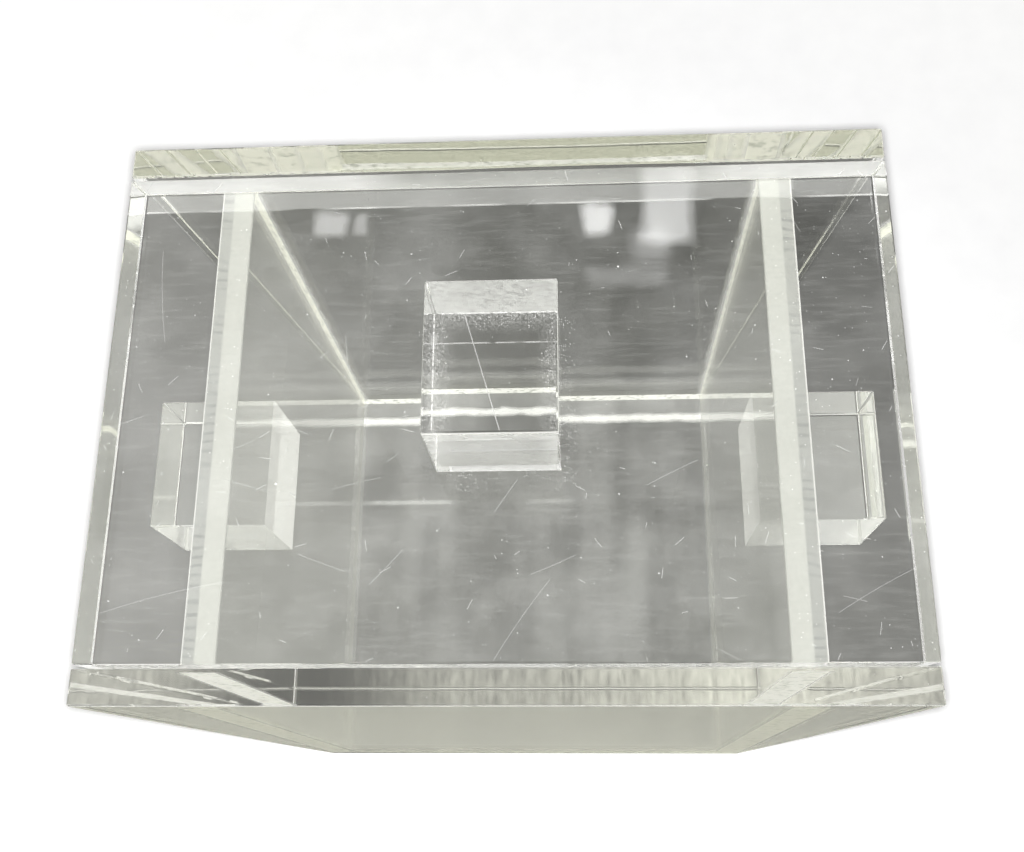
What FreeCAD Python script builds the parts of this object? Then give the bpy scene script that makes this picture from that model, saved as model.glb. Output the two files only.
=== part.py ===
"""Clear acrylic storage box: tapered front and back panels, upright walls, a floor and a lift-off lid."""
import FreeCAD, Part
import os
import Sketcher

# Driving dimensions in millimetres: name, value, what it is
SIZES = (
    ("panel_top_width", 230, "front and back panels across their top edges, and the lid's top"),
    ("body_width", 177, "outer faces of the two walls, and the panels across their feet"),
    ("panel_height", 217, "front and back panels, top to foot"),
    ("panel_thickness", 10, "sheet of the front and back panels"),
    ("wall_thickness", 10, "sheet of the left and right walls"),
    ("floor_thickness", 10, "sheet of the floor"),
    ("inside_depth", 150, "between the front and back panels"),
    ("lid_thickness", 15, "sheet of the lid"),
    ("lid_clearance", 1, "gap between the lid and the front or back panel"),
    ("knob_width", 35, "knob, side to side"),
    ("knob_length", 42.5, "knob, front to back"),
    ("knob_height", 33.5, "knob above the lid"),
    ("handle_height", 37, "handle, top to bottom"),
    ("handle_length", 43.5, "handle, front to back"),
    ("handle_reach", 31, "how far a handle stands out from its wall"),
    ("handle_drop", 62, "from the panels' top edges down to the handles' tops"),
    ("edge_break", 0.6, "bevel along the polished edges"),
)

UPRIGHT = FreeCAD.Rotation()
HALF_TURN = FreeCAD.Rotation(FreeCAD.Vector(0, 0, 1), 180)
TO_RIGHT = FreeCAD.Rotation(FreeCAD.Vector(0, 1, 0), 90)
TO_LEFT = FreeCAD.Rotation(FreeCAD.Vector(0, 1, 0), -90)

doc = FreeCAD.newDocument("AcrylicBox")
sheet = doc.addObject("Spreadsheet::Sheet", "Sizes")
for row, (alias, value, note) in enumerate(SIZES, start=1):
    sheet.set(f"A{row}", alias)
    sheet.set(f"B{row}", str(value))
    sheet.set(f"C{row}", note)
    sheet.setAlias(f"B{row}", alias)
doc.recompute()


def sheet_expression(text):
    """Put the sheet's name before each size that an expression uses."""
    words = text.split()
    aliases = {alias for alias, value, note in SIZES}
    return " ".join(f"Sizes.{word}" if word in aliases else word for word in words)


def new_body(label, base, rotation=UPRIGHT):
    """A body at a place given by three expressions."""
    body = doc.addObject("PartDesign::Body", label)
    body.Label = label
    body.Placement = FreeCAD.Placement(FreeCAD.Vector(), rotation)
    for axis, text in zip("xyz", base):
        body.setExpression(f"Placement.Base.{axis}", sheet_expression(text))
    return body


def new_sketch(body, role):
    """An empty sketch on one of the body's own origin planes."""
    plane = next(item for item in body.Origin.OriginFeatures if item.Role == role)
    sketch = body.newObject("Sketcher::SketchObject", f"{body.Label}_outline")
    sketch.AttachmentSupport = (plane, "")
    sketch.MapMode = "FlatFace"
    return sketch


def four_sided_loop(sketch, corners):
    """Four joined lines through rough corner points; constraints then set their real sizes."""
    points = [FreeCAD.Vector(x, y, 0) for x, y in corners]
    for start, end in zip(points, points[1:] + points[:1]):
        sketch.addGeometry(Part.LineSegment(start, end), False)
    for line in range(4):
        sketch.addConstraint(Sketcher.Constraint("Coincident", line, 2, (line + 1) % 4, 1))


def drive(sketch, constraint, name, text):
    """Add a named dimension that follows an expression."""
    index = sketch.addConstraint(constraint)
    sketch.renameConstraint(index, name)
    sketch.setExpression(f"Constraints.{name}", sheet_expression(text))


def tapered_sketch(body, foot_width, top_width, height):
    """Upright four-sided outline standing on the X axis, even about the Z axis."""
    sketch = new_sketch(body, "XZ_Plane")
    four_sided_loop(sketch, ((-8, 0), (8, 0), (10, 20), (-10, 20)))
    sketch.addConstraint(Sketcher.Constraint("PointOnObject", 0, 1, -1))
    sketch.addConstraint(Sketcher.Constraint("Symmetric", 0, 1, 0, 2, -2))
    sketch.addConstraint(Sketcher.Constraint("Symmetric", 2, 2, 2, 1, -2))
    drive(sketch, Sketcher.Constraint("DistanceX", 0, 1, 0, 2, 16), "foot_width", foot_width)
    drive(sketch, Sketcher.Constraint("DistanceX", 2, 2, 2, 1, 20), "top_width", top_width)
    drive(sketch, Sketcher.Constraint("DistanceY", 0, 1, 2, 2, 20), "height", height)
    return sketch


def rectangle_sketch(body, width, depth):
    """Rectangle in the XY plane, centred on the origin."""
    sketch = new_sketch(body, "XY_Plane")
    four_sided_loop(sketch, ((-10, -10), (10, -10), (10, 10), (-10, 10)))
    for line, direction in enumerate(("Horizontal", "Vertical", "Horizontal", "Vertical")):
        sketch.addConstraint(Sketcher.Constraint(direction, line))
    sketch.addConstraint(Sketcher.Constraint("Symmetric", 0, 1, 2, 1, -1, 1))
    drive(sketch, Sketcher.Constraint("DistanceX", 0, 1, 0, 2, 20), "width", width)
    drive(sketch, Sketcher.Constraint("DistanceY", 1, 1, 1, 2, 20), "depth", depth)
    return sketch


def pad(body, sketch, length):
    """Raise the outline by a length, along the sketch's own normal."""
    feature = body.newObject("PartDesign::Pad", f"{body.Label}_pad")
    feature.Profile = sketch
    feature.setExpression("Length", sheet_expression(length))
    sketch.Visibility = False
    doc.recompute()
    return feature


def bevel(body, base, is_broken):
    """Break the edges of the base whose two ends pass a test."""
    names = []
    for number, edge in enumerate(base.Shape.Edges, start=1):
        if is_broken([vertex.Point for vertex in edge.Vertexes]):
            names.append(f"Edge{number}")
    feature = body.newObject("PartDesign::Chamfer", f"{body.Label}_bevel")
    feature.Base = (base, names)
    feature.setExpression("Size", sheet_expression("edge_break"))
    return feature


def is_zero(value):
    return abs(value) < 1e-6


def tapered_panel(label, base, rotation):
    """Front or back panel: its inner face is the local XZ plane, and its inner foot edge stays sharp."""
    body = new_body(label, base, rotation)
    outline = tapered_sketch(body, "body_width", "panel_top_width", "panel_height")
    solid = pad(body, outline, "panel_thickness")
    bevel(body, solid, lambda ends: not all(is_zero(end.y) and is_zero(end.z) for end in ends))
    return body


def wall(label, side):
    """Upright wall under the lid; only the two long edges of its top are broken."""
    body = new_body(label, (f"{side} * ( body_width - wall_thickness ) / 2", "0", "0"))
    outline = rectangle_sketch(body, "wall_thickness", "inside_depth")
    solid = pad(body, outline, "panel_height - lid_thickness")
    top = solid.Shape.BoundBox.ZMax

    def is_long_top_edge(ends):
        return all(is_zero(end.z - top) for end in ends) and is_zero(ends[0].x - ends[1].x)

    bevel(body, solid, is_long_top_edge)
    return body


def floor_panel():
    """Floor between the walls and the panels, its underside level with the panels' feet."""
    body = new_body("floor_panel", ("0", "0", "0"))
    outline = rectangle_sketch(body, "body_width - 2 * wall_thickness", "inside_depth")
    pad(body, outline, "floor_thickness")
    return body


def lid_panel():
    """Lid whose ends carry on the slant of the panels' ends."""
    place = ("0", "inside_depth / 2 - lid_clearance", "panel_height - lid_thickness")
    body = new_body("lid_panel", place)
    slant = "( panel_top_width - body_width ) / panel_height"
    outline = tapered_sketch(
        body, f"panel_top_width - lid_thickness * {slant}", "panel_top_width", "lid_thickness"
    )
    solid = pad(body, outline, "inside_depth - 2 * lid_clearance")
    bevel(body, solid, lambda ends: True)
    return body


def grip_block(label, base, width, length, reach, rotation=UPRIGHT):
    """Solid block glued by its local bottom face, whose edges stay sharp."""
    body = new_body(label, base, rotation)
    outline = rectangle_sketch(body, width, length)
    solid = pad(body, outline, reach)
    bevel(body, solid, lambda ends: not all(is_zero(end.z) for end in ends))
    return body


def handle(label, side, rotation):
    """Block on the outer face of a wall, halfway between the panels."""
    level = "panel_height - handle_drop - handle_height / 2"
    place = (f"{side} * body_width / 2", "0", level)
    return grip_block(label, place, "handle_height", "handle_length", "handle_reach", rotation)


pieces = [
    tapered_panel("front_panel", ("0", "- inside_depth / 2", "0"), UPRIGHT),
    tapered_panel("back_panel", ("0", "inside_depth / 2", "0"), HALF_TURN),
    wall("left_wall", -1),
    wall("right_wall", 1),
    floor_panel(),
    lid_panel(),
    grip_block("lid_knob", ("0", "0", "panel_height"), "knob_width", "knob_length", "knob_height"),
    handle("left_handle", -1, TO_LEFT),
    handle("right_handle", 1, TO_RIGHT),
]
doc.recompute()

for item in doc.Objects:
    if "Invalid" in item.State or "Error" in item.State:
        raise RuntimeError(f"{item.Label} failed: {item.State}")
for piece in pieces:
    if piece.Shape.isNull() or not piece.Shape.isValid() or len(piece.Shape.Solids) != 1:
        raise RuntimeError(f"{piece.Label} is not one valid solid")

os.makedirs("parts", exist_ok=True)
for piece in pieces:
    piece.Shape.exportStep(f"parts/{piece.Label}.step")
    box = piece.Shape.BoundBox
    lowest = f"{box.XMin:.1f} {box.YMin:.1f} {box.ZMin:.1f}"
    highest = f"{box.XMax:.1f} {box.YMax:.1f} {box.ZMax:.1f}"
    print(f"{piece.Label}: {lowest} to {highest}, {piece.Shape.Volume / 1000:.1f} cc")
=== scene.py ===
"""Clear acrylic box with a lift-off lid: its pieces, their finishes, the floor, the light and the camera."""
import math

import bmesh
import bpy
from mathutils import Matrix, Quaternion, Vector


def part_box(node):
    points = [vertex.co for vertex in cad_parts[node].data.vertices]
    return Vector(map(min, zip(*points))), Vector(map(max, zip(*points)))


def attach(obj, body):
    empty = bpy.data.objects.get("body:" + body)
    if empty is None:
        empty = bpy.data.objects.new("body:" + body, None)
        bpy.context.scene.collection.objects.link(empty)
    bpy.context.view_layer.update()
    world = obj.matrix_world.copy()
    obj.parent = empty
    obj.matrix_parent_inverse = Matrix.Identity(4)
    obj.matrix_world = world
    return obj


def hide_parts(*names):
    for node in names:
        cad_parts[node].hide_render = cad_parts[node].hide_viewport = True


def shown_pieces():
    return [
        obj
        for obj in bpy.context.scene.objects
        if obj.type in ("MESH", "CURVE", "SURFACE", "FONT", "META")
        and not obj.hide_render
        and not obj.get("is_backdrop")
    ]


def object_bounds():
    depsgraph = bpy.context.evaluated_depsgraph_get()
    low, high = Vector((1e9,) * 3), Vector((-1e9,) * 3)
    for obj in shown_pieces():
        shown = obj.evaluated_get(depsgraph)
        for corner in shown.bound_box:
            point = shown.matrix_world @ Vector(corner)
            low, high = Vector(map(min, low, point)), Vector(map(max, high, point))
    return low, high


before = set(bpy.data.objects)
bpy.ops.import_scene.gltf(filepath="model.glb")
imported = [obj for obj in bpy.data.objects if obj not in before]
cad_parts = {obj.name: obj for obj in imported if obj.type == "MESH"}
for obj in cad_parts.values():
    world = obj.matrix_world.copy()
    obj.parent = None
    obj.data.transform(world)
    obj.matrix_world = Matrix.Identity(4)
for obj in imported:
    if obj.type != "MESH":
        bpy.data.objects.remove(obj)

cad_low, cad_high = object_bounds()

# Sizes in metres
MM = 0.001
EDGE_ROUND = 0.6 * MM
EDGE_STEPS = 2
GLUE_FILM = 0.02 * MM
REST_GAP = 0.05 * MM
SAME_PLACE = 0.001 * MM
FLOOR_DROP = 0.2 * MM
FLOOR_REACH = 6.0
FLOOR_SIDES = 96

# Outward directions of the sides, and how squarely a face looks that way to belong to one
FACING = {
    "left": Vector((-1, 0, 0)),
    "right": Vector((1, 0, 0)),
    "front": Vector((0, -1, 0)),
    "back": Vector((0, 1, 0)),
    "bottom": Vector((0, 0, -1)),
    "top": Vector((0, 0, 1)),
}
SQUARE_ON = 0.97
X, Y, Z = range(3)

# Camera, fitted to the corners of the panels, lid, walls and blocks
CAMERA_PLACE = (0.02301, -0.11366, 0.52651)
CAMERA_AIM = (0.00369, -0.0081, 0.217)
CAMERA_ROLL = math.radians(-10.67)
CAMERA_LENS = 40.98
CAMERA_SENSOR = 36.0
CAMERA_NEAR = 0.01

# Optics of the acrylic
ACRYLIC_IOR = 1.49
ACRYLIC_TINT = (0.98, 0.985, 0.955, 1)
WALL_TINT = (0.97, 0.975, 0.92, 1)
EDGE_TINT = (0.985, 0.985, 0.91, 1)
EDGE_SHADE = (0.955, 0.96, 0.87, 1)
SHADE_PER_FACE = (0.28, 0.28, 0.272, 1)
WEAR_WHITE = (0.9, 0.9, 0.88, 1)
WEAR_ROUGHNESS = 0.5
WEAR_CLEARNESS = 0.3
FACING_BLEND = 0.5
# At a low angle the outer face gives part of its mirror over to a painted darker reflection: where that
# starts and is full, its share, and its shade
LOW_ANGLE = (0.75, 0.88)
LOW_ANGLE_SHARE = 0.85
LOW_ANGLE_PAINTED_SHADE = (0.545, 0.545, 0.455, 1)

# Haze of the faces, as a share of the light that no longer passes; a wall's runs from its foot to its top
SEAM_HAZE = 0.22
BLOCK_HAZE = 0.05
MILKY_HAZE = 0.14
WALL_HAZE = (0.14, 0.26)

# Levels of the floor and the lamps
FLOOR_COLOUR = (0.86, 0.86, 0.86, 1)
# Painted light on the floor: its level at the front left and at the back right, its colour, and where along
# x plus y it changes
FLOOR_FILL = (0.19, 0.02)
FLOOR_FILL_COLOUR = (1, 0.995, 0.93, 1)
FLOOR_PAINTED_LIGHT_LEAN = (-0.3, 0.33)
WHITE = (1, 1, 1, 1)
KEY_ON_FLOOR = 13.2
KEY_ON_BOX = 3.8
KEY_SIZE = 0.012
AMBIENT = {"top": 3.0, "front": 2.4, "back": 2.2}
AMBIENT_SPREAD = math.radians(150)
WORLD_FOR_DIFFUSE = 0.08
LIGHT_BOUNCES = 32
GLOSS_BOUNCES = 24

# Changes of the floor's own light with distance: where one starts, where it is full, and its gain
FLOOR_FAR = ((0.28, 0.85, 0.6), (0.85, 2.5, 0.1), (1.6, 5.0, -0.16))

# Backdrop and ceiling: levels by the height of the way to them, and by its x/z and y/z overhead
BACKDROP_RISE = (0.0, 0.25)
BACKDROP_LEVELS = (0.84, 0.68)
OVERHEAD_RISE = (0.68, 0.8)
LEAST_HEIGHT = 0.05
CEILING_ACROSS = (-0.45, 0.1, 1.5, 0.6)
CEILING_DEEP = (0.3, 0.55, 1.0, 0.35)
CEILING_FAR_RIGHT = (0.32, 0.5, 0.0, 1.4)
CEILING_FAR_LEFT = (-0.8, -0.5, 0.7, 0.0)

# Windows and dim panels in the ceiling, as x/z and y/z of the way: left, right, near, far, softness and glow
WINDOWS = (
    (-0.25, -0.23, 0.543, 0.56, 0.009, 4.5),
    (-0.214, -0.207, 0.543, 0.558, 0.007, 3.0),
    (0.011, 0.026, 0.54, 0.562, 0.01, 8.0),
    (0.07, 0.102, 0.53, 0.61, 0.014, 6.0),
    (0.062, 0.078, 0.512, 0.53, 0.016, 2.5),
    (0.015, 0.075, 0.487, 0.493, 0.012, 1.8),
    (-0.2, -0.14, 0.36, 0.54, 0.07, 0.5),
    (0.07, 0.12, 0.29, 0.37, 0.04, 0.5),
)
WINDOW_SWAY = 0.009
WINDOW_SWAY_SCALE = 22.0

# Specks: cells in a metre, largest radius as a share of a cell, and share of cells that have one
FACE_DUST = (120.0, 0.05, 0.2)
EDGE_DUST = (160.0, 0.05, 0.2)
KNOB_DUST = (240.0, 0.036, 0.25)
INSIDE_DUST = ((90.0, 0.04, 0.3), (210.0, 0.06, 0.25))
LID_DUST = ((100.0, 0.026, 0.35), (240.0, 0.042, 0.3), (480.0, 0.065, 0.22))
LID_DUST_DEPTH = 0.55
SPATTER_SPECKS = ((1700.0, 0.3, 0.38), (800.0, 0.15, 0.3))

# Cement spatter round a welded block: its reach, how likely it is near and far, its clumps and depths
SPATTER_REACH = 8 * MM
SPATTER_LIKELY = (0.7, 0.24)
SPATTER_CLUMPS = (130.0, 2.0)
SPATTER_DEPTH = 0.38
BUBBLE_DEPTH = 0.4
BUBBLE_ROUGHNESS = 0.4

# Scratches on the lid: spacing, longest, width, share of places that have one, and how pale it is
LID_SCRATCHES = (
    (50 * MM, 44 * MM, 0.18 * MM, 0.3, 0.2),
    (22 * MM, 16 * MM, 0.16 * MM, 0.3, 0.25),
    (8 * MM, 4 * MM, 0.16 * MM, 0.25, 0.4),
)
SCRATCH_BOW = 2.5

# Long scratch over the knob, from one place to another off its middle, its width and its depth
KNOB_SCRATCH = ((-6.7 * MM, 11.2 * MM), (2.6 * MM, -20.5 * MM), 0.25 * MM)
KNOB_SCRATCH_DEPTH = 0.45

# Cement at the joints, and a painted line of light under the floor: places, widths and depths; an edge gives
# two distances and the depth at each
JOINT_CEMENT = 1.6 * MM
JOINT_CEMENT_DEPTH = 0.5
PAINTED_LIGHT_LINE_IN = 9.0 * MM
PAINTED_LIGHT_LINE_WIDTH = 3.0 * MM
PAINTED_LIGHT_LINE_LUMPS = 120.0
PAINTED_LIGHT_LINE_EDGE = (-0.8 * MM, 1.0 * MM, 0.7, 0.0)
PAINTED_LIGHT_FILM = 0.06
WELD_RIM = 0.3 * MM
WELD_RIM_DEPTH = 0.5
WELD_GRAIN_EDGE = (0.0, 6.5 * MM, 0.26, 0.0)
TIDE_LINE_IN = 9.0 * MM
TIDE_LINE_EDGE = (0.1 * MM, 0.3 * MM, 0.28, 0.0)
HANDLE_WELD_FILM = 0.55

# Painted reflection of the lid's back edge on the floor, and marks under the lid
PAINTED_REFLECTION_IN = 50.5 * MM
PAINTED_REFLECTION_EDGE = (0.4 * MM, 1.4 * MM, 0.16, 0.0)
LID_MARGIN = 6.4 * MM
LID_MARGIN_HAZE = 0.13
LID_MARGIN_LINE = 0.4 * MM
LID_MARGIN_LINE_DEPTH = 0.5

# Cloudy patches: lumps in a metre, detail, noise where they start and are full, and the depth at each
INSIDE_SMUDGES = (35.0, 6.0, 0.42, 0.68, 0.0, 0.07)
INSIDE_STREAKS = (70.0, 3.0, 0.42, 0.7, 0.03, 0.07)
PAINTED_REFLECTION_BREAKS = (16.0, 3.0, 0.48, 0.58, 0.0, 1.0)
JOINT_RAGGED = (150.0, 3.0, 0.3, 0.7, 0.0, JOINT_CEMENT / 2)
LID_SMUDGES = (40.0, 6.0, 0.42, 0.66, 0.0, 0.045)
LID_HAIRLINES = (900.0, 2.0, 0.5, 0.75, 0.0, 0.03)
LID_MARGIN_BREAKS = (40.0, 3.0, 0.35, 0.6, 0.0, 1.0)
LID_BACK_GRAIN = (90.0, 3.0, 0.3, 0.7, 0.0, 1.0)
EDGE_CLOUDS = (11.0, 2.0, 0.45, 0.62, 0.0, 1.0)
FOOT_STREAKS = (420.0, 5.0, 0.35, 0.7, 0.0, 0.5)
CHATTER_PATCHES = (60.0, 3.0, 0.4, 0.65, 0.0, 1.0)
SEAM_FLECKS = (420.0, 4.0, 0.54, 0.68, 0.0, 1.0)
WELD_GRAIN = (2200.0, 3.0, 0.35, 0.7, 0.0, 1.0)
WELD_RIM_BREAKS = (700.0, 3.0, 0.3, 0.5, 0.0, 1.0)
TIDE_LINE_BREAKS = (200.0, 3.0, 0.4, 0.55, 0.0, 1.0)
FLOOR_MOTTLE = (60.0, 4.0, 0.3, 0.7, -0.015, 0.015)

# Patterns drawn out along an axis, as shares of their lumps in a metre
WIPED = (1.0, 0.06, 1.0)
BRUSHED = (0.12, 1.0, 1.0)
SANDED_ALONG = (0.4, 1.0, 1.0)
DRAWN_ACROSS = (1.0, 0.2, 1.0)

# Polished edges: their waves, strength and height of the relief, and roughness by the waves
EDGE_WAVES = (45.0, 2.0)
EDGE_RELIEF = (0.03, 2.0 * MM)
EDGE_ROUGHNESS = (0.3, 0.7, 0.0, 0.05)

# Sawn and sanded faces: levels of the grain, height and strength of its relief, and roughness by the grain
GRAIN_LEVELS = (0.3, 0.7)
GRAIN_HEIGHT = 0.3 * MM
GRAIN_RELIEF = 0.3
SATIN_RELIEF = 0.08
GRAIN_ROUGHNESS = (0.3, 0.55)
SAWN_TONES = ((0.24, 0.245, 0.19, 1), (0.36, 0.365, 0.29, 1))
WALL_FOOT_TONES = ((0.25, 0.255, 0.21, 1), (0.36, 0.365, 0.31, 1))
SATIN_TONES = ((0.77, 0.78, 0.75, 1), (0.85, 0.85, 0.82, 1))

# Back edge of the lid: middle of its clearer stretch, where the sanding starts and is full, and its tones
LID_BACK_MIDDLE = 12.0 * MM
LID_BACK_SANDED = (32.0 * MM, 58.0 * MM)
LID_BACK_UNEVEN = (0.7, 1.0)
LID_BACK_LEAST = 0.35
LID_BACK_TONES = ((0.24, 0.245, 0.21, 1), (0.98, 0.98, 0.96, 1))
LID_BACK_CLEARNESS = (0.5, 0.25)

# Foot of the front panel: tones from left to right, their share of blue, and its dark streaks
FOOT_TONES = ((0, 0.06), (0.07, 0.09), (0.16, 0.17), (0.32, 0.33), (0.6, 0.35), (0.85, 0.46), (1, 0.58))
FOOT_BLUE = 0.9
FOOT_STREAK_TONE = (0.03, 0.03, 0.03, 1)
FOOT_ROUGHNESS = (0.5, 0.25)
FOOT_CLEARNESS = 0.35

# Tops of the walls: where the sawn part and the rim start and are full across them, tones and saw chatter
TOP_SAWN = (0.58, 0.64)
TOP_RIM = (0.93, 0.97)
TOP_PLANED_TONES = ((0.39, 0.395, 0.365, 1), (0.48, 0.485, 0.45, 1))
TOP_SAWN_TONES = ((0.34, 0.345, 0.33, 1), (0.24, 0.245, 0.24, 1))
TOP_RIM_TONE = (0.72, 0.72, 0.7, 1)
TOP_GRAIN = 800.0
TOP_ROUGHNESS = (0.5, 0.35)
TOP_CLEARNESS = (0.1, 0.25)
CHATTER_PITCH = 3.1 * MM
CHATTER_WANDER = 14.0
CHATTER_WANDER_NOISE = (70.0, 1.0)
CHATTER_LEVELS = (0.2, 1.0)
CHATTER_RELIEF = (0.3, 0.2 * MM)

# Glued sawn ends: tones where the cement is dry and wet, and roughness and clearness at each
SEAM_IOR = 1.05
SEAM_WHITE = (0.93, 0.93, 0.88, 1)
SEAM_CREAM = (0.95, 0.95, 0.83, 1)
SEAM_WET_TONE = (0.66, 0.68, 0.6, 1)
SEAM_ROUGHNESS = (0.7, 0.4)
SEAM_CLEARNESS = (0.05, 0.5)


# Node helpers
def add_node(tree, kind, inputs, **settings):
    """A shader node; a socket among its inputs is linked and any other value is set."""
    made = tree.nodes.new("ShaderNode" + kind)
    for name, value in settings.items():
        setattr(made, name, value)
    for name, value in inputs.items():
        if isinstance(value, bpy.types.NodeSocket):
            tree.links.new(value, made.inputs[name])
        else:
            made.inputs[name].default_value = value
    return made


def maths(tree, operation, *values):
    """The result of one maths node."""
    return add_node(tree, "Math", dict(enumerate(values)), operation=operation).outputs[0]


def times(tree, first, second):
    """Two values multiplied."""
    return maths(tree, "MULTIPLY", first, second)


def larger(tree, first, second):
    """The larger of two values."""
    return maths(tree, "MAXIMUM", first, second)


def apart(tree, first, second):
    """How far apart two values are."""
    return maths(tree, "ABSOLUTE", maths(tree, "SUBTRACT", first, second))


def ramp(tree, value, low, high, out_low=0.0, out_high=1.0):
    """A value mapped from one range to another and held at its ends."""
    inputs = {"Value": value, "From Min": low, "From Max": high, "To Min": out_low, "To Max": out_high}
    return add_node(tree, "MapRange", inputs).outputs[0]


def between(tree, share, levels):
    """A level between two, by a share from 0 to 1."""
    return ramp(tree, share, 0.0, 1.0, *levels)


def mix_colours(tree, share, first, second):
    """Two colours mixed by a mask."""
    made = add_node(tree, "Mix", {0: share, 6: first, 7: second}, data_type="RGBA")
    return made.outputs[2]


def mix_levels(tree, share, first, second):
    """Two levels mixed by a mask."""
    return add_node(tree, "Mix", {0: share, 2: first, 3: second}).outputs[0]


def object_place(tree):
    """Coordinates that move with the piece, in metres."""
    return add_node(tree, "TexCoord", {}).outputs["Object"]


def coordinate(tree, place, axis):
    """One coordinate of a place."""
    return add_node(tree, "SeparateXYZ", {0: place}).outputs[axis]


def stretched(tree, place, shares):
    """Coordinates that draw a pattern out along an axis."""
    return add_node(tree, "Mapping", {"Vector": place, "Scale": shares}).outputs[0]


def turned(tree, place, middle, angle):
    """Coordinates measured from a middle and turned about the upright axis."""
    offset = add_node(tree, "VectorMath", {0: place, 1: middle}, operation="SUBTRACT").outputs[0]
    inputs = {"Vector": offset, "Angle": angle}
    return add_node(tree, "VectorRotate", inputs, rotation_type="Z_AXIS").outputs[0]


def relief(tree, height, strength, distance):
    """Normals of a surface with fine relief."""
    inputs = {"Strength": strength, "Distance": distance, "Height": height}
    return add_node(tree, "Bump", inputs).outputs[0]


def noise(tree, place, per_metre, detail=3.0):
    """Cloudy noise from 0 to 1."""
    return add_node(tree, "TexNoise", {"Vector": place, "Scale": per_metre, "Detail": detail}).outputs[0]


def patches(tree, place, per_metre, detail, start, full, depth_at_start, depth_at_full):
    """Cloudy patches, from the noise level where they start to the one where they are full."""
    return ramp(tree, noise(tree, place, per_metre, detail), start, full, depth_at_start, depth_at_full)


def specks(tree, place, per_metre, radius, share, level=False):
    """Mask of round specks, one in each chosen cell; on a level face the cells are flat."""
    inputs = {"Vector": place, "Scale": per_metre}
    cells = add_node(tree, "TexVoronoi", inputs, voronoi_dimensions="2D" if level else "3D")
    chance = add_node(tree, "SeparateColor", {"Color": cells.outputs["Color"]}).outputs[0]
    dot = maths(tree, "LESS_THAN", cells.outputs["Distance"], times(tree, chance, radius / share))
    return times(tree, dot, maths(tree, "LESS_THAN", chance, share))


def scratches(tree, place, spacing, length, width, share):
    """Mask of short fine arcs on a level face, each turned its own way; sizes in metres."""
    cells = add_node(tree, "TexVoronoi", {"Vector": place, "Scale": 1.0 / spacing}, voronoi_dimensions="2D")
    chance = add_node(tree, "SeparateColor", {"Color": cells.outputs["Color"]}).outputs
    angle = times(tree, chance[0], 2.0 * math.pi)
    own = turned(tree, place, cells.outputs["Position"], angle)
    aside = coordinate(tree, own, X)
    along = coordinate(tree, own, Y)
    bow = times(tree, times(tree, along, along), SCRATCH_BOW)
    line = maths(tree, "LESS_THAN", apart(tree, aside, bow), width / 2)
    reach = times(tree, chance[1], length / 2)
    line = times(tree, line, maths(tree, "LESS_THAN", maths(tree, "ABSOLUTE", along), reach))
    return times(tree, line, maths(tree, "LESS_THAN", chance[2], share))


def outside_by(tree, place, node, axes):
    """How far a place lies outside a node's outline, seen along the third axis; less than 0 inside it."""
    low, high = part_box(node)
    beyond = []
    for axis in axes:
        middle = (low[axis] + high[axis]) / 2
        off_middle = apart(tree, coordinate(tree, place, axis), middle)
        beyond.append(maths(tree, "SUBTRACT", off_middle, (high[axis] - low[axis]) / 2))
    return larger(tree, *beyond)


def from_outline(tree, place, node, axes):
    """How far a place lies from a node's outline, on either side of it."""
    return maths(tree, "ABSOLUTE", outside_by(tree, place, node, axes))


def spatter(tree, place, node, axes):
    """Mask of small bubbles in the cement round the outline of a welded block, thinning out away from it."""
    likely = ramp(tree, from_outline(tree, place, node, axes), 0.0, SPATTER_REACH, *SPATTER_LIKELY)
    near = maths(tree, "LESS_THAN", noise(tree, place, *SPATTER_CLUMPS), likely)
    level = Z not in axes
    small, large = [specks(tree, place, *sizes, level) for sizes in SPATTER_SPECKS]
    return times(tree, larger(tree, small, large), near)


def new_material(name):
    """An empty node material and its tree."""
    made = bpy.data.materials.new(name)
    made.use_nodes = True
    made.node_tree.nodes.clear()
    return made, made.node_tree


def end_with(tree, shader):
    """Ends a material with a shader."""
    add_node(tree, "OutputMaterial", {"Surface": shader.outputs[0]})


def let_lamps_through(tree, shader):
    """Ends a see-through material: rays to the lamps pass it shaded instead of being stopped."""
    shade = add_node(tree, "BsdfTransparent", {"Color": SHADE_PER_FACE})
    to_lamp = add_node(tree, "LightPath", {}).outputs["Is Shadow Ray"]
    end_with(tree, add_node(tree, "MixShader", {0: to_lamp, 1: shader.outputs[0], 2: shade.outputs[0]}))


def calm_glare(tree, shader):
    """Clear acrylic that seen at a low angle shows less of its mirror and, in its place, a painted darker
    reflection tinted grey-olive.
    """
    bent = add_node(tree, "BsdfRefraction", {"Color": LOW_ANGLE_PAINTED_SHADE, "Roughness": 0.0, "IOR": ACRYLIC_IOR})
    slant = add_node(tree, "LayerWeight", {"Blend": FACING_BLEND}).outputs["Facing"]
    outside = maths(tree, "SUBTRACT", 1.0, add_node(tree, "NewGeometry", {}).outputs["Backfacing"])
    share = times(tree, ramp(tree, slant, *LOW_ANGLE, 0.0, LOW_ANGLE_SHARE), outside)
    return add_node(tree, "MixShader", {0: share, 1: shader.outputs[0], 2: bent.outputs[0]})


def worn_clear(tree, wear, haze=0.0, tint=ACRYLIC_TINT, roughness=None, **more):
    """Clear acrylic that turns pale and matte where the wear mask says; haze is its film of dust."""
    if roughness is None:
        roughness = times(tree, wear, WEAR_ROUGHNESS)
    clearness = between(tree, wear, (1.0, WEAR_CLEARNESS))
    return add_node(tree, "BsdfPrincipled", {
        "Base Color": mix_colours(tree, wear, tint, WEAR_WHITE),
        "Roughness": roughness,
        "Transmission Weight": maths(tree, "SUBTRACT", clearness, haze),
        "IOR": ACRYLIC_IOR,
        **more,
    })


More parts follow.
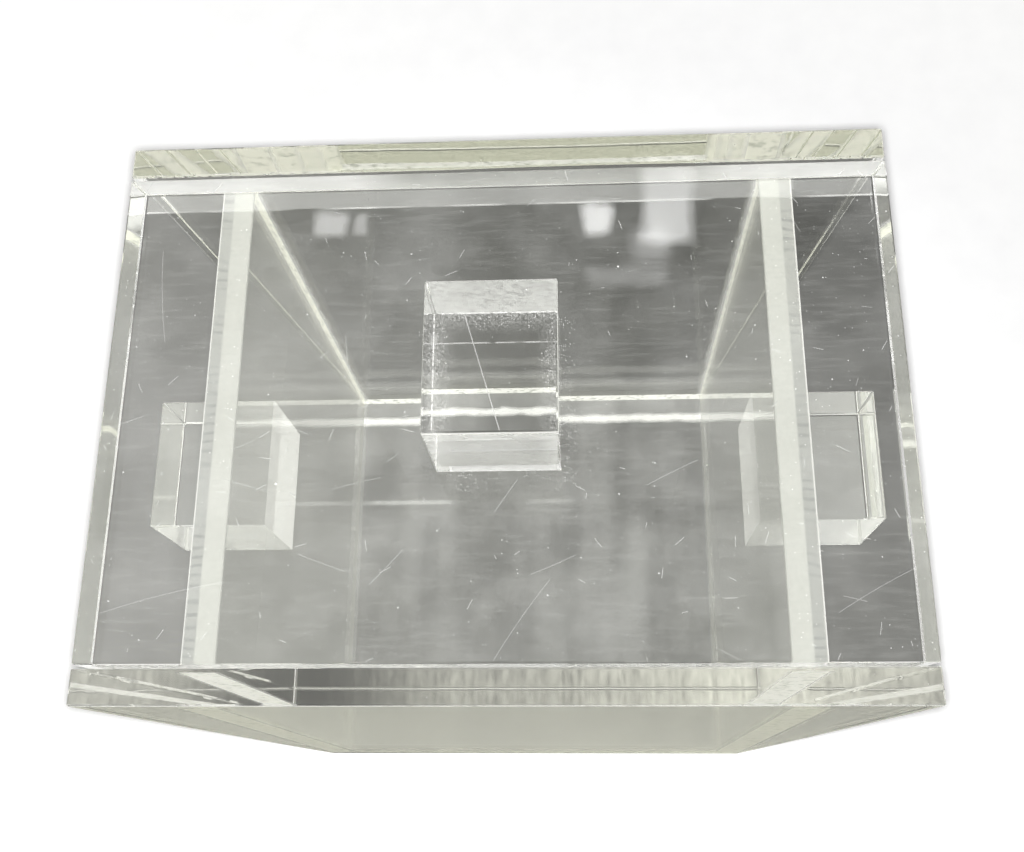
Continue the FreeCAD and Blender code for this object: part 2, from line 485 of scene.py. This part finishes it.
def part_clear(tree, colour, roughness, clearness, **more):
    """Pale acrylic that is only partly see-through."""
    return add_node(tree, "BsdfPrincipled", {
        "Base Color": colour,
        "Roughness": roughness,
        "Transmission Weight": clearness,
        "IOR": ACRYLIC_IOR,
        **more,
    })


# Finishes
def clear_face(name, haze=0.0, calm=False):
    """Polished face with a little dust."""
    made, tree = new_material(name)
    shader = worn_clear(tree, specks(tree, object_place(tree), *FACE_DUST), haze)
    let_lamps_through(tree, calm_glare(tree, shader) if calm else shader)
    return made


def wall_face():
    """Inner face of a wall, dustier towards its top."""
    made, tree = new_material("wall_face")
    place = object_place(tree)
    low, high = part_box("right_wall")
    haze = ramp(tree, coordinate(tree, place, Z), low.z, high.z, *WALL_HAZE)
    let_lamps_through(tree, worn_clear(tree, specks(tree, place, *FACE_DUST), haze, WALL_TINT))
    return made


def floor_inside():
    """Upper face of the floor: dusty, with smudges, wiped streaks and a painted reflection of the lid's back
    edge as a faint line across it.
    """
    made, tree = new_material("floor_inside")
    place = object_place(tree)
    smudges = patches(tree, place, *INSIDE_SMUDGES)
    streaks = patches(tree, stretched(tree, place, WIPED), *INSIDE_STREAKS)
    # painted reflection of the lid's back edge: a faint broken line across the floor
    line_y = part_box("floor_panel")[1].y - PAINTED_REFLECTION_IN
    line = ramp(tree, apart(tree, coordinate(tree, place, Y), line_y), *PAINTED_REFLECTION_EDGE)
    line = times(tree, line, patches(tree, place, *PAINTED_REFLECTION_BREAKS))
    # the haze here holds the smudges and streaks and also the painted reflection line
    haze = maths(tree, "ADD", maths(tree, "ADD", smudges, streaks), line)
    coarse, fine = [specks(tree, place, *sizes) for sizes in INSIDE_DUST]
    let_lamps_through(tree, worn_clear(tree, larger(tree, coarse, fine), haze))
    return made


def floor_under():
    """Underside of the floor, with a painted line of light along it near its back joint and a pale film
    behind it.
    """
    made, tree = new_material("floor_under")
    place = object_place(tree)
    line_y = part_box("floor_panel")[1].y - PAINTED_LIGHT_LINE_IN
    depth = coordinate(tree, place, Y)
    ragged = times(tree, noise(tree, place, PAINTED_LIGHT_LINE_LUMPS), PAINTED_LIGHT_LINE_WIDTH)
    off_line = maths(tree, "SUBTRACT", apart(tree, depth, line_y), ragged)
    # the mask named cement here is a painted line of light, not cement
    cement = ramp(tree, off_line, *PAINTED_LIGHT_LINE_EDGE)
    film = ramp(tree, depth, line_y, line_y + PAINTED_LIGHT_LINE_WIDTH, 0.0, PAINTED_LIGHT_FILM)
    wear = larger(tree, cement, specks(tree, place, *FACE_DUST))
    let_lamps_through(tree, worn_clear(tree, wear, film))
    return made


def panel_inside():
    """Inner face of a panel, with the cement that squeezed out along the walls."""
    made, tree = new_material("panel_inside")
    place = object_place(tree)
    low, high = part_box("right_wall")
    off_centre = maths(tree, "ABSOLUTE", coordinate(tree, place, X))
    off_wall = apart(tree, off_centre, (low.x + high.x) / 2)
    off_joint = maths(tree, "SUBTRACT", off_wall, (high.x - low.x) / 2)
    off_joint = maths(tree, "SUBTRACT", off_joint, patches(tree, place, *JOINT_RAGGED))
    cement = ramp(tree, off_joint, 0.0, JOINT_CEMENT, JOINT_CEMENT_DEPTH, 0.0)
    cement = times(tree, cement, maths(tree, "LESS_THAN", coordinate(tree, place, Z), high.z))
    let_lamps_through(tree, worn_clear(tree, larger(tree, cement, specks(tree, place, *FACE_DUST))))
    return made


def lid_top():
    """Upper face of the lid: the most handled, with dust, nicks and fine scratches."""
    made, tree = new_material("lid_top")
    place = object_place(tree)
    hairlines = patches(tree, stretched(tree, place, BRUSHED), *LID_HAIRLINES)
    haze = maths(tree, "ADD", patches(tree, place, *LID_SMUDGES), hairlines)
    wear = times(tree, spatter(tree, place, "lid_knob", axes_along("top")), SPATTER_DEPTH)
    for sizes in LID_DUST:
        dust = specks(tree, place, *sizes, level=True)
        wear = larger(tree, wear, times(tree, dust, LID_DUST_DEPTH))
    for *sizes, depth in LID_SCRATCHES:
        wear = larger(tree, wear, times(tree, scratches(tree, place, *sizes), depth))
    let_lamps_through(tree, worn_clear(tree, wear, haze))
    return made


def lid_under():
    """Underside of the lid, hazed along its back margin up to a fine line."""
    made, tree = new_material("lid_under")
    place = object_place(tree)
    from_back = maths(tree, "SUBTRACT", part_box("lid_panel")[1].y, coordinate(tree, place, Y))
    haze = ramp(tree, from_back, LID_MARGIN - LID_MARGIN_LINE, LID_MARGIN, LID_MARGIN_HAZE, 0.0)
    off_line = apart(tree, from_back, LID_MARGIN)
    line = ramp(tree, off_line, LID_MARGIN_LINE / 2, LID_MARGIN_LINE, LID_MARGIN_LINE_DEPTH, 0.0)
    line = times(tree, line, patches(tree, place, *LID_MARGIN_BREAKS))
    wear = larger(tree, line, specks(tree, place, *FACE_DUST))
    let_lamps_through(tree, worn_clear(tree, wear, haze))
    return made


def lid_back():
    """Back edge of the lid: sanded pale towards its two ends and clearer in between."""
    made, tree = new_material("lid_back")
    place = object_place(tree)
    grain = patches(tree, stretched(tree, place, SANDED_ALONG), *LID_BACK_GRAIN)
    off_middle = apart(tree, coordinate(tree, place, X), LID_BACK_MIDDLE)
    sanded = times(tree, ramp(tree, off_middle, *LID_BACK_SANDED), between(tree, grain, LID_BACK_UNEVEN))
    sanded = larger(tree, sanded, times(tree, grain, LID_BACK_LEAST))
    colour = mix_colours(tree, sanded, *LID_BACK_TONES)
    roughness = between(tree, grain, GRAIN_ROUGHNESS)
    let_lamps_through(tree, part_clear(tree, colour, roughness, between(tree, sanded, LID_BACK_CLEARNESS)))
    return made


def knob_top():
    """Upper face of the knob, with dust and one long scratch."""
    made, tree = new_material("knob_top")
    place = object_place(tree)
    low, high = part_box("lid_knob")
    start, end, width = KNOB_SCRATCH
    run = Vector(end) - Vector(start)
    middle = (low + high) / 2 + ((Vector(start) + Vector(end)) / 2).to_3d()
    own = turned(tree, place, middle, -math.atan2(run.y, run.x))
    along = maths(tree, "ABSOLUTE", coordinate(tree, own, X))
    aside = maths(tree, "ABSOLUTE", coordinate(tree, own, Y))
    line = ramp(tree, aside, width / 4, width / 2, KNOB_SCRATCH_DEPTH, 0.0)
    line = times(tree, line, maths(tree, "LESS_THAN", along, run.length / 2))
    wear = larger(tree, line, specks(tree, place, *KNOB_DUST, level=True))
    let_lamps_through(tree, worn_clear(tree, wear))
    return made


def polished_edge():
    """Flame-polished edge, slightly wavy and unevenly tinted."""
    made, tree = new_material("polished_edge")
    place = object_place(tree)
    waves = noise(tree, place, *EDGE_WAVES)
    tint = mix_colours(tree, patches(tree, place, *EDGE_CLOUDS), EDGE_TINT, EDGE_SHADE)
    roughness = ramp(tree, waves, *EDGE_ROUGHNESS)
    normal = relief(tree, waves, *EDGE_RELIEF)
    wear = specks(tree, place, *EDGE_DUST)
    let_lamps_through(tree, worn_clear(tree, wear, tint=tint, roughness=roughness, Normal=normal))
    return made


def scattering(name, tones, clearness, per_metre, strength=GRAIN_RELIEF):
    """Sawn or sanded acrylic: pale, matte and partly see-through."""
    made, tree = new_material(name)
    grain = noise(tree, object_place(tree), per_metre)
    colour = mix_colours(tree, ramp(tree, grain, *GRAIN_LEVELS), *tones)
    roughness = ramp(tree, grain, *GRAIN_LEVELS, *GRAIN_ROUGHNESS)
    normal = relief(tree, grain, strength, GRAIN_HEIGHT)
    let_lamps_through(tree, part_clear(tree, colour, roughness, clearness, Normal=normal))
    return made


def front_foot():
    """Lower edge of the front panel, darker towards its left end and paler towards its right, in streaks."""
    made, tree = new_material("front_foot")
    place = object_place(tree)
    low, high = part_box("floor_panel")
    tones = add_node(tree, "ValToRGB", {0: ramp(tree, coordinate(tree, place, X), low.x, high.x)})
    stops = tones.color_ramp.elements
    for share, tone in FOOT_TONES:
        stop = stops[0] if share == 0 else stops[-1] if share == 1 else stops.new(share)
        stop.color = (tone, tone, tone * FOOT_BLUE, 1)
    streaks = patches(tree, stretched(tree, place, DRAWN_ACROSS), *FOOT_STREAKS)
    colour = mix_colours(tree, streaks, tones.outputs[0], FOOT_STREAK_TONE)
    let_lamps_through(tree, part_clear(tree, colour, between(tree, streaks, FOOT_ROUGHNESS), FOOT_CLEARNESS))
    return made


def wall_top():
    """Top edge of a wall: planed pale over the inner part, with saw chatter along the outer part."""
    made, tree = new_material("wall_top")
    place = object_place(tree)
    low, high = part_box("right_wall")
    across = ramp(tree, maths(tree, "ABSOLUTE", coordinate(tree, place, X)), low.x, high.x)
    outer = ramp(tree, across, *TOP_SAWN)
    wander = times(tree, noise(tree, place, *CHATTER_WANDER_NOISE), CHATTER_WANDER)
    along = times(tree, coordinate(tree, place, Y), 2.0 * math.pi / CHATTER_PITCH)
    chatter = ramp(tree, maths(tree, "SINE", maths(tree, "ADD", along, wander)), *CHATTER_LEVELS)
    chatter = times(tree, times(tree, chatter, patches(tree, place, *CHATTER_PATCHES)), outer)
    planed = mix_colours(tree, noise(tree, place, TOP_GRAIN), *TOP_PLANED_TONES)
    sawn = mix_colours(tree, chatter, *TOP_SAWN_TONES)
    colour = mix_colours(tree, outer, planed, sawn)
    colour = mix_colours(tree, ramp(tree, across, *TOP_RIM), colour, TOP_RIM_TONE)
    roughness = between(tree, outer, TOP_ROUGHNESS)
    clearness = between(tree, outer, TOP_CLEARNESS)
    normal = relief(tree, chatter, *CHATTER_RELIEF)
    let_lamps_through(tree, part_clear(tree, colour, roughness, clearness, Normal=normal))
    return made


def frosted_seam(name, dry_tone):
    """Glued sawn end: pale with darker flecks where the cement wetted it."""
    made, tree = new_material(name)
    wet = patches(tree, object_place(tree), *SEAM_FLECKS)
    colour = mix_colours(tree, wet, dry_tone, SEAM_WET_TONE)
    roughness = between(tree, wet, SEAM_ROUGHNESS)
    clearness = between(tree, wet, SEAM_CLEARNESS)
    let_lamps_through(tree, part_clear(tree, colour, roughness, clearness, IOR=SEAM_IOR))
    return made


def bubbled_weld(node, axes, film=0.0):
    """Solvent weld of a block: clear or filmed over, with bubbles and grain along its outline."""
    made, tree = new_material("weld_of_" + node)
    place = object_place(tree)
    bubbles = times(tree, spatter(tree, place, node, axes), BUBBLE_DEPTH)
    grain = ramp(tree, from_outline(tree, place, node, axes), *WELD_GRAIN_EDGE)
    grain = times(tree, grain, patches(tree, place, *WELD_GRAIN))
    rim = ramp(tree, outside_by(tree, place, node, axes), -WELD_RIM, -WELD_RIM / 2, 0.0, WELD_RIM_DEPTH)
    rim = times(tree, rim, patches(tree, place, *WELD_RIM_BREAKS))
    tide_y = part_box(node)[1].y - TIDE_LINE_IN
    tide = ramp(tree, apart(tree, coordinate(tree, place, Y), tide_y), *TIDE_LINE_EDGE)
    tide = times(tree, tide, patches(tree, place, *TIDE_LINE_BREAKS))
    pale = larger(tree, larger(tree, bubbles, grain), larger(tree, rim, larger(tree, tide, film)))
    clear = add_node(tree, "BsdfTransparent", {})
    bubble = add_node(tree, "BsdfPrincipled", {"Base Color": WEAR_WHITE, "Roughness": BUBBLE_ROUGHNESS})
    end_with(tree, add_node(tree, "MixShader", {0: pale, 1: clear.outputs[0], 2: bubble.outputs[0]}))
    return made


def open_seat():
    """Place on a sheet where another piece is welded on, so that light runs straight across."""
    made, tree = new_material("open_seat")
    end_with(tree, add_node(tree, "BsdfTransparent", {}))
    return made


# Shapes
def axes_along(side):
    """The two axes that lie in a side."""
    outward = FACING[side]
    return [axis for axis in range(3) if outward[axis] == 0]


def side_of(face):
    """Name of the side that a face lies on, or None for a rounded edge."""
    for name, outward in FACING.items():
        if face.normal.dot(outward) > SQUARE_ON:
            return name
    return None


def slab(low, high, foot_half):
    """A plate or block between two corners; foot_half, where given, is its half width at the foot."""
    shape = bmesh.new()
    bmesh.ops.create_cube(shape, size=2.0)
    for vert in shape.verts:
        is_foot = vert.co.z < 0
        ends = (-foot_half, foot_half) if is_foot and foot_half else (low.x, high.x)
        vert.co = (
            ends[0] if vert.co.x < 0 else ends[1],
            low.y if vert.co.y < 0 else high.y,
            low.z if is_foot else high.z,
        )
    shape.normal_update()
    return shape


def ease_edges(shape, glued):
    """Rounds every edge that no glued side touches."""
    free = [edge for edge in shape.edges if not any(side_of(face) in glued for face in edge.link_faces)]
    bmesh.ops.bevel(
        shape, geom=free, offset=EDGE_ROUND, segments=EDGE_STEPS, profile=0.5, affect="EDGES",
    )
    shape.normal_update()


def middle_of(face):
    """Coordinates of a face's middle."""
    return tuple(face.calc_center_median())


def settle_faces(shape):
    """Puts the faces in a fixed order, which a cut leaves to chance."""
    for index, face in enumerate(sorted(shape.faces, key=middle_of)):
        face.index = index
    shape.faces.sort()


def cut_seat(shape, side, low, high):
    """Splits a side along the outline of the piece that is welded to it."""
    for axis in axes_along(side):
        across = Vector([float(axis == other) for other in range(3)])
        for place in (low[axis], high[axis]):
            faces = [face for face in shape.faces if side_of(face) == side]
            edges = dict.fromkeys(edge for face in faces for edge in face.edges)
            verts = dict.fromkeys(vert for face in faces for vert in face.verts)
            bmesh.ops.bisect_plane(
                shape, geom=[*faces, *edges, *verts], dist=SAME_PLACE,
                plane_co=across * place, plane_no=across,
            )
            settle_faces(shape)
    shape.normal_update()


def in_seat(face, side, low, high):
    """True where a face lies inside the outline of the piece welded to its side."""
    middle = middle_of(face)
    return all(low[axis] < middle[axis] < high[axis] for axis in axes_along(side))


def make_piece(node, body, finishes, glued=(), seats=(), rests=(), foot_half=None):
    """One sheet or block in the place of its node, with a finish for each side."""
    low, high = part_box(node)
    for side in list(glued) + list(rests):
        shift = FACING[side] * (GLUE_FILM if side in glued else REST_GAP)
        for axis in range(3):
            if shift[axis] > 0:
                high[axis] -= shift[axis]
            else:
                low[axis] -= shift[axis]
    shape = slab(low, high, foot_half)
    ease_edges(shape, glued)
    outlines = [(side, *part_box(other)) for side, other in seats]
    for side, seat_low, seat_high in outlines:
        cut_seat(shape, side, seat_low, seat_high)
    materials = []
    for face in shape.faces:
        side = side_of(face)
        is_seat = any(in_seat(face, *outline) for outline in outlines if outline[0] == side)
        finish = SEAT if is_seat else finishes.get(side, CLEAR)
        if finish not in materials:
            materials.append(finish)
        face.material_index = materials.index(finish)
    mesh = bpy.data.meshes.new("clear_" + node)
    shape.to_mesh(mesh)
    shape.free()
    for finish in materials:
        mesh.materials.append(finish)
    piece = bpy.data.objects.new("clear_" + node, mesh)
    bpy.context.scene.collection.objects.link(piece)
    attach(piece, body)
    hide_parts(node)


def add_panels():
    """The front and back of the box: flared panels with seats for the walls and the floor."""
    foot_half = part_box("right_wall")[1].x
    for node, inside, own_sides in (
        ("front_panel", "back", {"front": OUTWARD, "bottom": FRONT_FOOT}),
        ("back_panel", "front", {"bottom": SAWN}),
    ):
        sides = {"top": POLISHED, "left": POLISHED, "right": POLISHED, inside: PANEL_INSIDE, **own_sides}
        seats = [(inside, other) for other in ("left_wall", "right_wall", "floor_panel")]
        make_piece(node, "box", sides, seats=seats, foot_half=foot_half)


def add_walls_and_floor():
    """The walls and the floor glued between the panels, with a block handle on each wall."""
    wall_sides = {None: WALL_TOP, "top": WALL_TOP, "bottom": WALL_FOOT, "front": FROSTED, "back": CREAM_SEAM}
    for hand, inside, underside in (("left", "right", BLOCK), ("right", "left", MILKY)):
        handle = hand + "_handle"
        make_piece(hand + "_wall", "box", {**wall_sides, inside: WALL_FACE},
                   glued=("front", "back"), seats=[(inside, "floor_panel"), (hand, handle)], rests=("top",))
        weld = bubbled_weld(handle, axes_along(inside), HANDLE_WELD_FILM)
        block_sides = {"front": MILKY, "back": MILKY, "bottom": underside, hand: BLOCK, inside: weld}
        make_piece(handle, "box", block_sides, glued=(inside,))
    floor_sides = {"front": FROSTED, "back": FROSTED, "left": SEAM, "right": SEAM}
    make_piece("floor_panel", "box",
               {**floor_sides, "top": FLOOR_INSIDE, "bottom": FLOOR_UNDER}, glued=tuple(floor_sides))


def add_lid():
    """The lid: a thick sheet with slanted ends that lies on the walls, and a block knob."""
    panel_low, panel_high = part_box("front_panel")
    lid_low, lid_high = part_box("lid_panel")
    slope = (panel_high.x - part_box("right_wall")[1].x) / (panel_high.z - panel_low.z)
    foot_half = panel_high.x - slope * (lid_high.z - lid_low.z)
    lid_sides = {"top": LID_TOP, "bottom": LID_UNDER, "back": LID_BACK}
    lid_sides.update(dict.fromkeys(("front", "left", "right"), POLISHED))
    make_piece("lid_panel", "lid", lid_sides, seats=[("top", "lid_knob")], foot_half=foot_half)
    weld = bubbled_weld("lid_knob", axes_along("bottom"))
    knob_sides = {**dict.fromkeys(FACING, BLOCK), "top": KNOB_TOP, "back": SATIN, "bottom": weld}
    make_piece("lid_knob", "lid", knob_sides, glued=("bottom",))


# Floor, light and camera
def seen_by_eye_or_glass(tree):
    """1 for rays from the camera, from a gloss or through glass, and 0 for the rest."""
    path = add_node(tree, "LightPath", {}).outputs
    seen = larger(tree, path["Is Camera Ray"], path["Is Glossy Ray"])
    return larger(tree, seen, path["Is Transmission Ray"])


def floor_finish():
    """White paint with a light of its own for the eye and for glass, which evens it out far off and near the
    box is a painted light, brighter towards the front left and dimmer towards the back right.
    """
    made, tree = new_material("floor_white")
    place = object_place(tree)
    painted_light_lean = maths(tree, "ADD", coordinate(tree, place, X), coordinate(tree, place, Y))
    # painted light: the floor's own light is brighter towards the front left and dimmer towards the back
    # right
    level = ramp(tree, painted_light_lean, *FLOOR_PAINTED_LIGHT_LEAN, *FLOOR_FILL)
    level = maths(tree, "ADD", level, patches(tree, place, *FLOOR_MOTTLE))
    reach = add_node(tree, "VectorMath", {0: place}, operation="LENGTH").outputs["Value"]
    for start, end, gain in FLOOR_FAR:
        level = maths(tree, "ADD", level, ramp(tree, reach, start, end, 0.0, gain))
    first_start, first_end = FLOOR_FAR[0][:2]
    colour = mix_colours(tree, ramp(tree, reach, first_start, first_end), FLOOR_FILL_COLOUR, WHITE)
    strength = times(tree, seen_by_eye_or_glass(tree), level)
    fill = add_node(tree, "Emission", {"Color": colour, "Strength": strength})
    paint = add_node(tree, "BsdfDiffuse", {"Color": FLOOR_COLOUR})
    end_with(tree, add_node(tree, "AddShader", {0: paint.outputs[0], 1: fill.outputs[0]}))
    return made


def add_floor():
    """Plain round white floor that keeps the box's shadow."""
    mesh = bpy.data.meshes.new("floor")
    height = cad_low.z - FLOOR_DROP
    turns = [2.0 * math.pi * step / FLOOR_SIDES for step in range(FLOOR_SIDES)]
    rim = [(FLOOR_REACH * math.cos(turn), FLOOR_REACH * math.sin(turn), height) for turn in turns]
    mesh.from_pydata(rim, [], [range(FLOOR_SIDES)])
    mesh.materials.append(floor_finish())
    floor = bpy.data.objects.new("floor", mesh)
    bpy.context.scene.collection.objects.link(floor)
    floor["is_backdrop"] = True
    return floor


def grouped(name, items):
    """A collection of the given objects, outside the scene's own."""
    group = bpy.data.collections.new(name)
    for item in items:
        group.objects.link(item)
    return group


def place_lamp(lamp, receivers, blockers):
    """Puts a lamp in the scene for the given objects alone, out of the picture and of reflections."""
    bpy.context.scene.collection.objects.link(lamp)
    lamp.visible_camera = False
    lamp.visible_glossy = False
    lamp.visible_transmission = False
    lamp.light_linking.receiver_collection = grouped(lamp.name + "_receivers", receivers)
    lamp.light_linking.blocker_collection = grouped(lamp.name + "_blockers", blockers)


def add_key(name, level, receivers, blockers):
    """Small soft lamp at the camera, of the same strength near and far."""
    data = bpy.data.lights.new(name, "AREA")
    data.shape = "DISK"
    data.size = KEY_SIZE
    data.energy = 1.0
    data.use_nodes = True
    tree = data.node_tree
    tree.nodes.clear()
    steady = add_node(tree, "LightFalloff", {"Strength": level})
    glow = add_node(tree, "Emission", {"Strength": steady.outputs["Constant"]})
    add_node(tree, "OutputLight", {"Surface": glow.outputs[0]})
    lamp = bpy.data.objects.new(name, data)
    aim = Vector(CAMERA_AIM) - Vector(CAMERA_PLACE)
    lamp.matrix_world = Matrix.LocRotScale(Vector(CAMERA_PLACE), aim.to_track_quat("-Z", "Y"), None)
    place_lamp(lamp, receivers, blockers)


def add_ambient(receivers, blockers):
    """Even light from above, in front and behind."""
    for side, level in AMBIENT.items():
        data = bpy.data.lights.new("ambient_" + side, "SUN")
        data.angle = AMBIENT_SPREAD
        data.energy = level
        lamp = bpy.data.objects.new("ambient_" + side, data)
        lamp.rotation_mode = "QUATERNION"
        lamp.rotation_quaternion = FACING[side].to_track_quat("Z", "Y")
        place_lamp(lamp, receivers, blockers)


def soft_box(tree, value, low, high, soft):
    """1 between two values, falling to 0 beyond them."""
    rise = ramp(tree, value, low - soft, low)
    return times(tree, rise, ramp(tree, value, high, high + soft, 1.0, 0.0))


def ceiling_level(tree, across, deep):
    """Brightness of the ceiling, with its windows slightly swayed, by x/z and y/z of the way to it."""
    level = times(tree, ramp(tree, across, *CEILING_ACROSS), ramp(tree, deep, *CEILING_DEEP))
    level = maths(tree, "ADD", level, ramp(tree, across, *CEILING_FAR_RIGHT))
    level = maths(tree, "SUBTRACT", level, ramp(tree, across, *CEILING_FAR_LEFT))
    flat = add_node(tree, "CombineXYZ", {0: across, 1: deep}).outputs[0]
    sway = between(tree, noise(tree, flat, WINDOW_SWAY_SCALE), (-WINDOW_SWAY, WINDOW_SWAY))
    swayed_across = maths(tree, "ADD", across, sway)
    swayed_deep = maths(tree, "SUBTRACT", deep, sway)
    for left, right, near, far, soft, glow in WINDOWS:
        sideways = soft_box(tree, swayed_across, left, right, soft)
        pane = times(tree, sideways, soft_box(tree, swayed_deep, near, far, soft))
        level = maths(tree, "ADD", level, times(tree, pane, glow))
    return level


def add_world():
    """Pale studio all round, with a dimmer ceiling and a few windows that only gloss and glass show."""
    world = bpy.data.worlds.new("studio")
    bpy.context.scene.world = world
    world.use_nodes = True
    tree = world.node_tree
    tree.nodes.clear()
    way = add_node(tree, "SeparateXYZ", {0: add_node(tree, "TexCoord", {}).outputs["Generated"]}).outputs
    height = larger(tree, way[Z], LEAST_HEIGHT)
    across = maths(tree, "DIVIDE", way[X], height)
    deep = maths(tree, "DIVIDE", way[Y], height)
    around = ramp(tree, way[Z], *BACKDROP_RISE, *BACKDROP_LEVELS)
    overhead = ramp(tree, way[Z], *OVERHEAD_RISE)
    seen = mix_levels(tree, overhead, around, ceiling_level(tree, across, deep))
    strength = mix_levels(tree, seen_by_eye_or_glass(tree), WORLD_FOR_DIFFUSE, seen)
    sky = add_node(tree, "Background", {"Color": WHITE, "Strength": strength})
    add_node(tree, "OutputWorld", {"Surface": sky.outputs[0]})


def add_camera():
    """The camera at the photograph's place."""
    data = bpy.data.cameras.new("camera")
    data.lens = CAMERA_LENS
    data.sensor_width = CAMERA_SENSOR
    data.clip_start = CAMERA_NEAR
    camera = bpy.data.objects.new("camera", data)
    aim = (Vector(CAMERA_AIM) - Vector(CAMERA_PLACE)).to_track_quat("-Z", "Y")
    rolled = aim @ Quaternion(FACING["top"], CAMERA_ROLL)
    camera.matrix_world = Matrix.LocRotScale(Vector(CAMERA_PLACE), rolled, None)
    bpy.context.scene.collection.objects.link(camera)
    bpy.context.scene.camera = camera


# Finishes that several pieces share, and those of single faces
CLEAR = clear_face("clear_face")
WALL_FACE = wall_face()
SEAM = clear_face("wet_seam", SEAM_HAZE)
PANEL_INSIDE = panel_inside()
FLOOR_INSIDE = floor_inside()
BLOCK = clear_face("block_face", BLOCK_HAZE)
MILKY = clear_face("milky_face", MILKY_HAZE)
OUTWARD = clear_face("outward_face", calm=True)
LID_TOP = lid_top()
KNOB_TOP = knob_top()
LID_UNDER = lid_under()
FLOOR_UNDER = floor_under()
POLISHED = polished_edge()
SAWN = scattering("sawn_edge", SAWN_TONES, clearness=0.2, per_metre=700.0)
WALL_FOOT = scattering("wall_foot", WALL_FOOT_TONES, clearness=0.25, per_metre=700.0)
SATIN = scattering("satin_end", SATIN_TONES, clearness=0.72, per_metre=500.0, strength=SATIN_RELIEF)
FRONT_FOOT = front_foot()
LID_BACK = lid_back()
WALL_TOP = wall_top()
FROSTED = frosted_seam("frosted_seam", SEAM_WHITE)
CREAM_SEAM = frosted_seam("cream_seam", SEAM_CREAM)
SEAT = open_seat()

# The box, its lid, and the studio round them
add_panels()
add_walls_and_floor()
add_lid()
floor = add_floor()
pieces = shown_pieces()
add_key("key_on_floor", KEY_ON_FLOOR, [floor], pieces)
add_key("key_on_box", KEY_ON_BOX, pieces, [floor])
add_ambient(pieces, [floor])
add_world()
add_camera()

scene = bpy.context.scene
scene.view_settings.view_transform = "Standard"
scene.cycles.caustics_refractive = False
scene.cycles.max_bounces = LIGHT_BOUNCES
scene.cycles.glossy_bounces = GLOSS_BOUNCES
scene.cycles.transmission_bounces = LIGHT_BOUNCES
scene.cycles.transparent_max_bounces = LIGHT_BOUNCES
